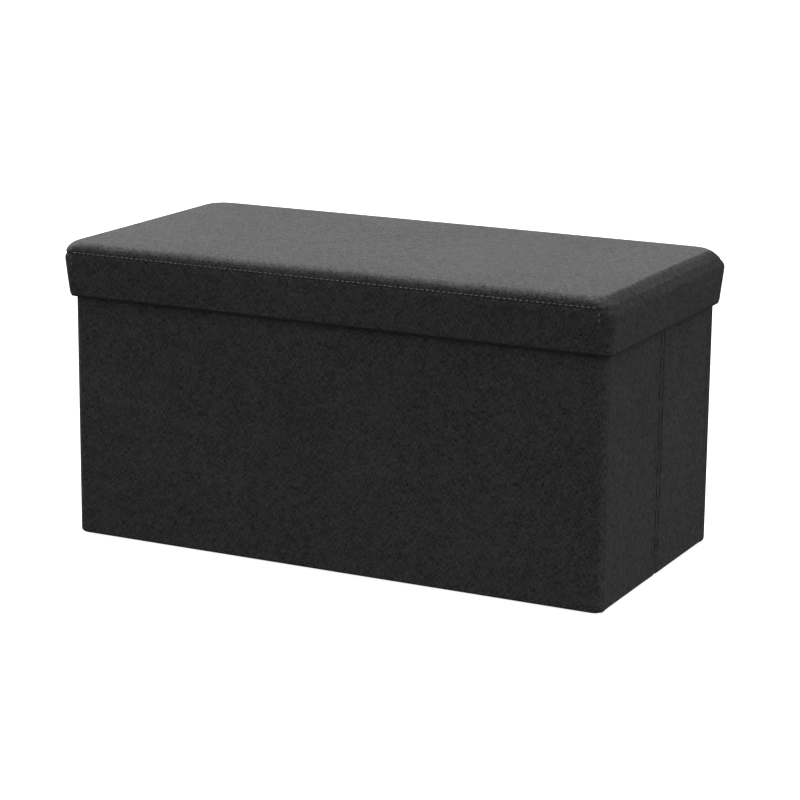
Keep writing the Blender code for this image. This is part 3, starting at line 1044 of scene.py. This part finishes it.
def add_floor():
    """The cloth round the two floor leaves, stitched along its edges."""
    section = floor_section()
    half_width = FLOOR_COVER[1].x - 0.0002
    for side, way in SIDES:
        def place(x, i):
            distance, z = section[int(i)]
            ripple = slack(x, distance, 8.0 + way) * 0.7 if z > FLOOR_BOARD[1].z else 0.0
            return x, way * (LINING_Y - distance), z + min(0.0003, max(-0.0001, ripple))
        columns, rows = steps(-half_width, half_width, 0.010), list(range(len(section)))
        wrap = make_sheet(f"floor_{side}_cloth", columns, rows, place, THIN_LINING, LINER)
        cover, board = f"floor_{side}_cover", f"floor_{side}_board"
        lay(wrap, f"floor_{side}_leaf", cover)
        inset = 0.007
        z = FLOOR_COVER[1].z + 0.00005
        far, near, wide = FLOOR_BOARD_FAR - inset, FLOOR_BOARD_NEAR + inset, half_width - inset
        loop = [(-wide, near), (wide, near), (wide, far), (-wide, far), (-wide, near)]
        path = []
        for a, b in zip(loop, loop[1:]):
            path += line(a, b, 0.012)
        path.append(loop[0])
        stitch_row(f"floor_{side}_stitching", [(x, way * (LINING_Y - d), z) for x, d in path],
                   [(0, 0, 1)] * len(path), f"floor_{side}_leaf", radius=LINING_STITCH_RADIUS)


def add_ribbon():
    """The ribbon loop that lifts the floor, sewn down near the middle of the box."""
    half_width = RIBBON[1].x
    bottom, length = RIBBON[0].z + 0.0002, RIBBON[1].y - RIBBON[0].y
    sewn = RIBBON[0].y + 0.004

    def place(x, t):
        turn = t * length
        if turn < 0.5 * length:
            part = turn / (0.5 * length)
            y, z = sewn + (length - 0.006) * part, bottom + RIBBON_RISE * sin(pi * part) ** 2 * 0.25
        else:
            part = (turn - 0.5 * length) / (0.5 * length)
            y = sewn + (length - 0.006) * (1 - part)
            z = bottom + 0.0010 + RIBBON_RISE * sin(pi * part) ** 1.5
        return x * (1 - 0.04 * sin(pi * t) ** 2), y, z
    ribbon = make_sheet("floor_pull_loop", steps(-half_width, half_width, 0.002), steps(0, 1, 0.025), place,
                        0.0008, RIBBON_CLOTH)
    lay(ribbon, "floor_front_leaf", "floor_pull_ribbon")


def add_lid_lining():
    """The lining under the lid's board."""
    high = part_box("lid_lining")[1]

    def place(x, y):
        hold = min(1.0, (high.x - abs(x)) / 0.03, (high.y - abs(y)) / 0.03)
        sag = 0.0006 * hold + slack(x, y, 11.0) * hold
        return -x, y, high.z - 0.0004 - max(0.0, min(0.0012, sag))
    lining = make_sheet("lid_lining_cloth", steps(-high.x + GAP, high.x - GAP, 0.010),
                        steps(-high.y + GAP, high.y - GAP, 0.010), place, THIN_LINING, LINER)
    lay(lining, "lid", "lid_lining")


def add_lid_rims():
    """The four boards inside the lid's skirt, as one ring that leans in with the cloth."""
    top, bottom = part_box("lid_right_rim")[1].z, HEM_Z + 0.0014
    inner = LID_HIGH.x - RIM_INNER
    skin = 0.0024
    section = [(lid_side_draw(z) + skin, z) for z in steps(bottom, top, 0.004)]
    section += [(inner, z) for z in reversed(steps(bottom, top, 0.004))]
    rings = [[(x, y, z) for x, y in lid_outline(draw, 0.02)] for draw, z in section]
    rims = hoop("lid_skirt_boards", rings, BOARD)
    attach(rims, "lid", "board", *[f"lid_{side}_rim" for side in ("front", "back", "left", "right")])


# ---------------------------------------------------------------- camera, light and stage

def add_camera():
    """The camera stands in front and to the right, a little above the lid."""
    camera = bpy.data.objects.new("camera", bpy.data.cameras.new("camera"))
    camera.location = CAMERA_PLACE
    yaw, pitch, roll = (radians(angle) for angle in CAMERA_TURNS)
    level = Matrix.Rotation(yaw, 4, "Z") @ Matrix.Rotation(pi / 2 - pitch, 4, "X")
    camera.rotation_euler = (level @ Matrix.Rotation(roll, 4, "Z")).to_euler()
    camera.data.lens = CAMERA_LENS
    camera.data.sensor_width = 36
    camera.data.clip_end = 50
    bpy.context.scene.collection.objects.link(camera)
    bpy.context.scene.camera = camera


def add_sun(name, direction, strength, spread):
    """Soft light from far away, the same all over the floor. direction points towards the light."""
    light = bpy.data.objects.new(name, bpy.data.lights.new(name, "SUN"))
    light.rotation_euler = Vector(direction).to_track_quat("Z", "Y").to_euler()
    light.data.energy = strength
    light.data.angle = radians(spread)
    bpy.context.scene.collection.objects.link(light)


def add_studio():
    """Pale floor, white surroundings and soft light from above and behind."""
    bpy.ops.mesh.primitive_plane_add(size=120, location=(0, 0, -0.0005))
    ground = bpy.context.active_object
    ground.name = "studio_floor"
    ground.data.materials.append(make_floor_paint())
    ground.visible_diffuse = False
    ground.visible_glossy = False
    world = bpy.data.worlds.new("studio")
    bpy.context.scene.world = world
    world.use_nodes = True
    tree = world.node_tree
    place = tree.nodes.new("ShaderNodeTexCoord")
    height = tree.nodes.new("ShaderNodeSeparateXYZ")
    tree.links.new(place.outputs["Generated"], height.inputs[0])
    sky = tree.nodes.new("ShaderNodeMapRange")
    for i, value in enumerate((-0.25, 0.25, 0.04, 0.34)):
        sky.inputs[i + 1].default_value = value
    tree.links.new(height.outputs[2], sky.inputs[0])
    tree.links.new(sky.outputs[0], tree.nodes["Background"].inputs["Strength"])
    tree.nodes["Background"].inputs["Color"].default_value = (1, 1, 1, 1)
    add_sun("overhead_light", (-1.10, 0.50, 1.0), 5.2, 40)
    add_sun("side_light", (1.0, -0.15, 0.25), 0.35, 60)
    bpy.context.scene.view_settings.view_transform = "Standard"


add_lid_cover()
add_lid_stitching()
add_hem_shade_tape()
add_foam_pad()
add_staples()
add_lid_board()
add_lid_rims()
add_lid_lining()
add_long_panels()
add_end_halves()
add_corner_flaps()
add_fold_strips()
add_wall_linings()
add_corner_strips()
add_floor()
add_ribbon()
LOOKS = {"upholstery": UPHOLSTERY, "liner": LINER, "board": BOARD, "foam": FOAM, "ribbon": RIBBON_CLOTH}
SLOTS = {part["node"]: part["material_slot"] for part in frame["record"]["subparts"]}
for node, obj in frame["nodes"].items():
    obj.data.materials.clear()
    obj.data.materials.append(LOOKS[SLOTS[node]])
add_camera()
add_studio()
